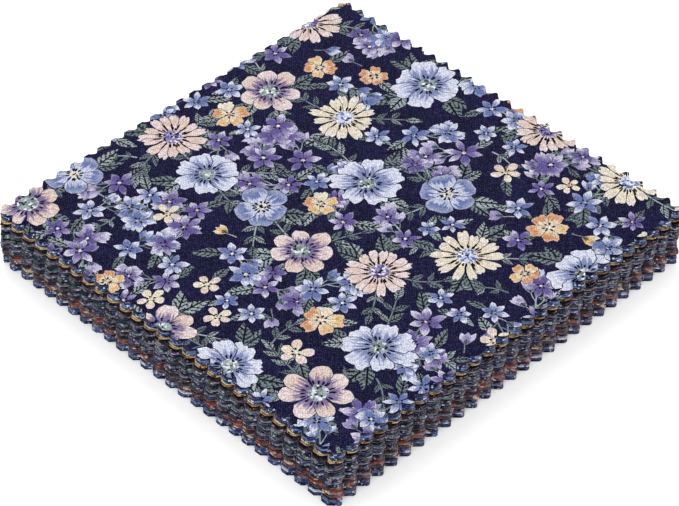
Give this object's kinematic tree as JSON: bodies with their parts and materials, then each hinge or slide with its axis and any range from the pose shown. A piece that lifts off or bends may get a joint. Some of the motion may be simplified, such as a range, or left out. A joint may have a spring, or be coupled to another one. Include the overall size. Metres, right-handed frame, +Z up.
{
  "type": "charm pack",
  "caption": "Stack of square quilting cotton pieces with pinked edges, lying flat, with a floral print on top.",
  "frame": {"origin": "centre of the underside, on the surface that the pack rests on", "axes": "+Z up through the stack, with the squares' sides along X and Y"},
  "size_m": [0.1279, 0.1273, 0.0183],
  "materials": {
    "indigo_cotton": "woven cotton, matt",
    "rust_cotton": "woven cotton, matt",
    "umber_cotton": "woven cotton, matt",
    "charcoal_cotton": "woven cotton, matt",
    "ink_cotton": "woven cotton, matt",
    "bottle_green_cotton": "woven cotton, matt",
    "plum_cotton": "woven cotton, matt",
    "slate_cotton": "woven cotton, matt",
    "black_cotton": "woven cotton, matt",
    "russet_cotton": "woven cotton, matt",
    "gold_cotton": "woven cotton, matt",
    "navy_floral_cotton": "woven cotton with a floral print, matt"
  },
  "bodies": {
    "root": {"charm_layer_01": "indigo_cotton", "charm_layer_02": "rust_cotton", "charm_layer_03": "umber_cotton", "charm_layer_04": "charcoal_cotton", "charm_layer_05": "ink_cotton", "charm_layer_06": "bottle_green_cotton", "charm_layer_07": "plum_cotton", "charm_layer_08": "slate_cotton", "charm_layer_09": "black_cotton", "charm_layer_10": "russet_cotton", "charm_layer_11": "gold_cotton", "charm_layer_12": "navy_floral_cotton"}
  },
  "joints": []
}
